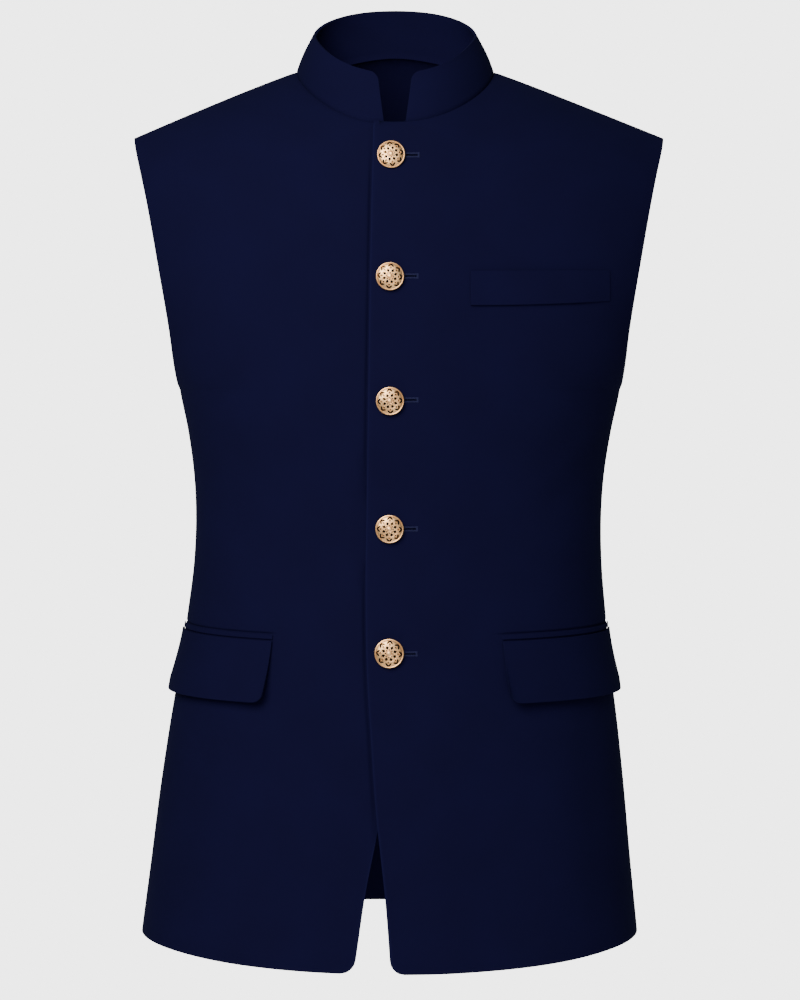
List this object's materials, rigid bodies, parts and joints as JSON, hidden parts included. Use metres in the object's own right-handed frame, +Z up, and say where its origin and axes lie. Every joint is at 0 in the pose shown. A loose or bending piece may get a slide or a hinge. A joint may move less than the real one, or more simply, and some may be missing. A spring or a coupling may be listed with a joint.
{
  "type": "nehru jacket",
  "caption": "Sleeveless buttoned jacket, worn and hollow, with an open-ended band collar, a breast pocket welt and hip flaps.",
  "frame": {"origin": "midway between the two points where the collar meets the shoulder seams, where the wearer's shoulders hold the jacket", "axes": "+Z up, the front faces -Y, +X is the wearer's left"},
  "size_m": [0.442, 0.2669, 0.7879],
  "materials": {
    "navy_suiting": "fine matte wool-blend suiting, very dark navy, slight nap",
    "gold_metal": "polished pale gold plating over pierced metal"
  },
  "bodies": {
    "root": {"front_left": "navy_suiting", "front_right": "navy_suiting", "back": "navy_suiting", "collar": "navy_suiting", "chest_welt": "navy_suiting", "flap_left": "navy_suiting", "flap_right": "navy_suiting", "jet_left": "navy_suiting", "jet_right": "navy_suiting", "button_1": "gold_metal", "button_2": "gold_metal", "button_3": "gold_metal", "button_4": "gold_metal", "button_5": "gold_metal"}
  },
  "joints": []
}
